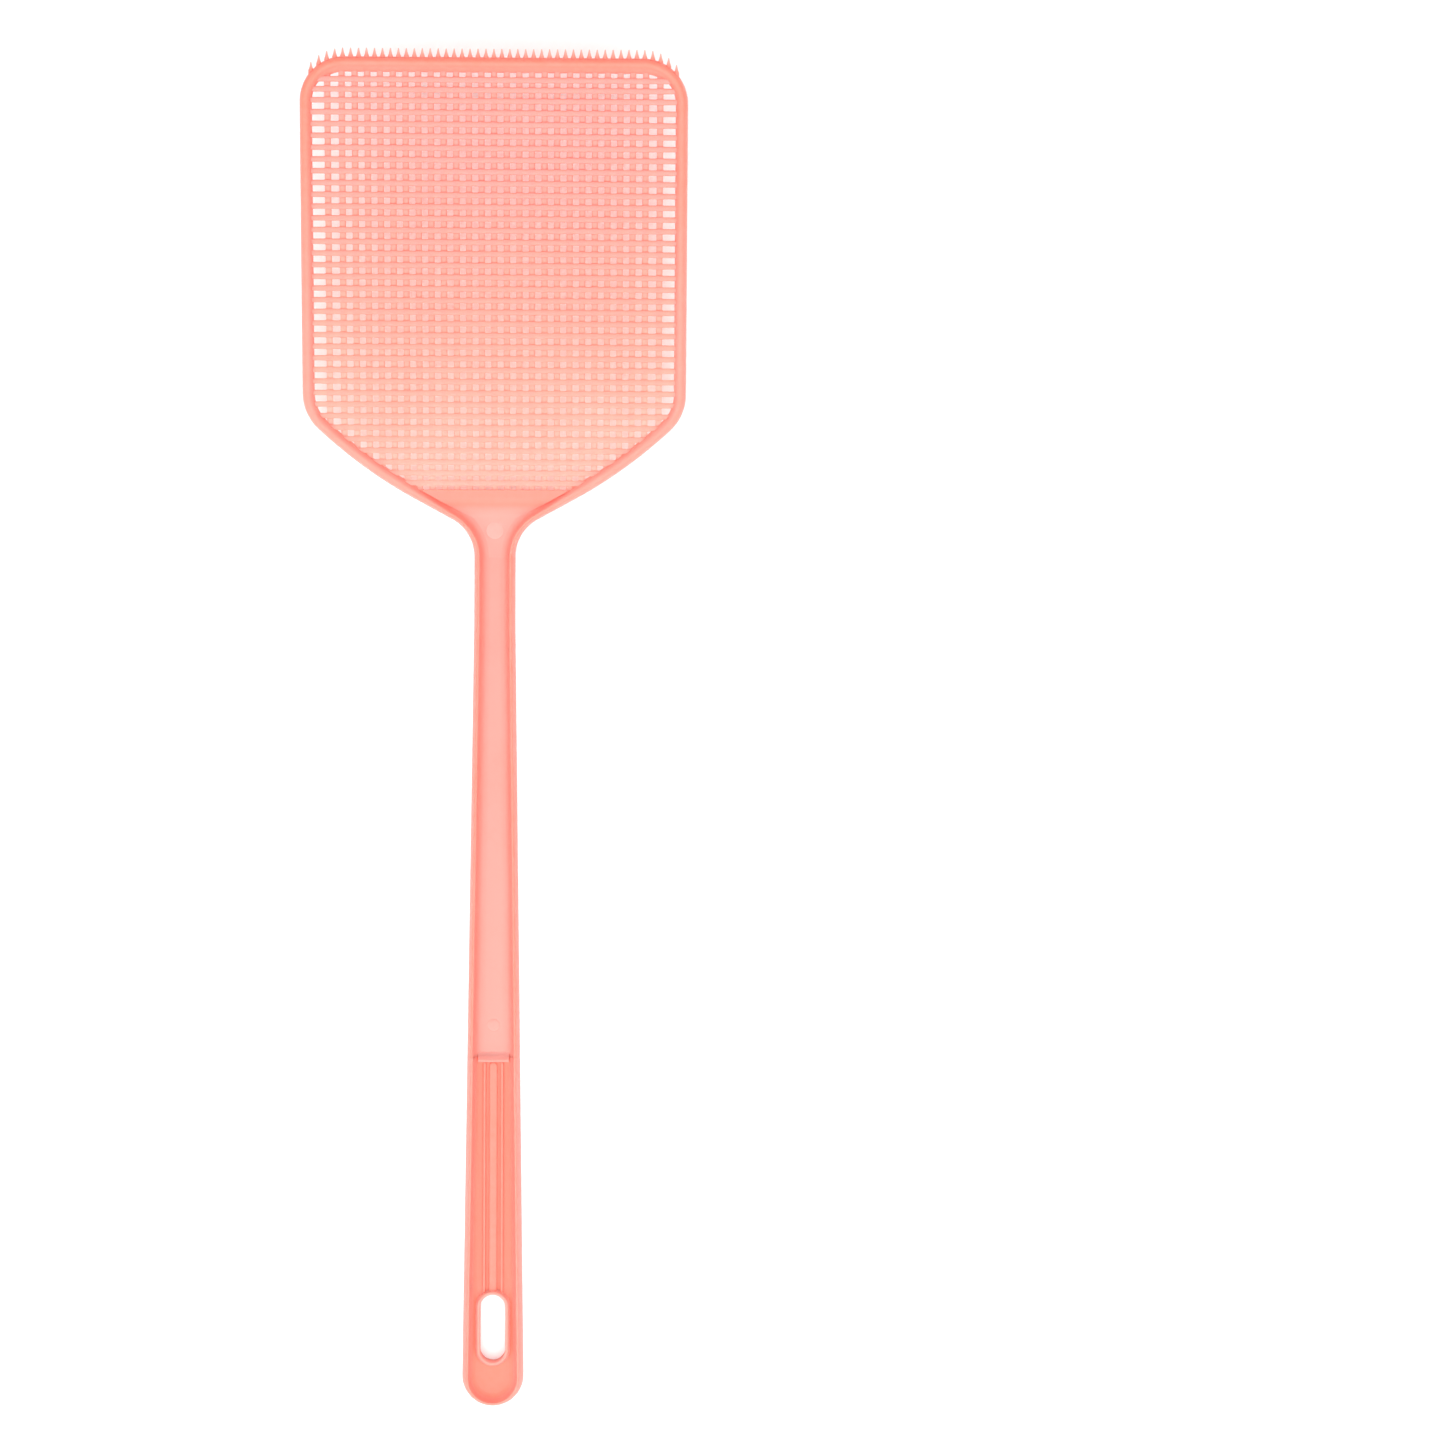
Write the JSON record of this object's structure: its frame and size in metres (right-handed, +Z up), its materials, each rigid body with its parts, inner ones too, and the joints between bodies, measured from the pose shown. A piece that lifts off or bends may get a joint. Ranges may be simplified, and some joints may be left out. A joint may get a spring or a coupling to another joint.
{
  "type": "fly swatter",
  "caption": "Hand-held fly swatter: a square mesh head with a ribbed rim and small top spikes, leaning up from a slim channel handle with a ribbed grip and a hang slot.",
  "frame": {"origin": "middle of the bounding box, on the flat underside of the handle", "axes": "+Y along the handle from the hang end to the tip of the head, +Z up out of the open side of the handle, +X to the right with the head away from the holder"},
  "size_m": [0.126, 0.4448, 0.0286],
  "materials": {
    "edge_plastic": "soft satin, slightly translucent moulded polypropylene, at the thick edges, where the coral is deepest",
    "floor_plastic": "soft satin, slightly translucent moulded polypropylene, at the thin floors, where it is paler",
    "mesh_plastic": "soft satin, slightly translucent moulded polypropylene, in thin bars",
    "spike_plastic": "soft satin, slightly translucent moulded polypropylene, in thin tapered spikes"
  },
  "bodies": {
    "handle": {"neck_flexure": "floor_plastic", "shaft_floor": "floor_plastic", "shaft_left_flange": "edge_plastic", "shaft_right_flange": "edge_plastic", "shaft_ejector_pad": "floor_plastic", "grip_stop_rib": "edge_plastic", "grip_floor": "edge_plastic", "grip_left_flange": "edge_plastic", "grip_right_flange": "edge_plastic", "grip_centre_rib": "floor_plastic", "grip_left_rib": "floor_plastic", "grip_right_rib": "floor_plastic", "hang_end_floor": "edge_plastic", "hang_end_flange": "edge_plastic", "hang_slot_ring": "edge_plastic"},
    "head": {"rim_top": "edge_plastic", "rim_left": "edge_plastic", "rim_right": "edge_plastic", "rim_lower_left": "edge_plastic", "rim_lower_right": "edge_plastic", "mesh_cross_bars": "mesh_plastic", "mesh_long_bars": "mesh_plastic", "top_spikes": "spike_plastic", "throat_web": "floor_plastic", "throat_left_flange": "edge_plastic", "throat_right_flange": "edge_plastic", "throat_ejector_pad": "floor_plastic"}
  },
  "joints": [
    {"name": "neck_flex", "type": "hinge", "parent": "handle", "child": "head", "pos_m": [0, 0.0436, 0.003], "axis": [1, 0, 0], "range_deg": [-20, 20], "stiffness_Nm_per_rad": 1.5, "deforming": ["neck_flexure"]}
  ]
}
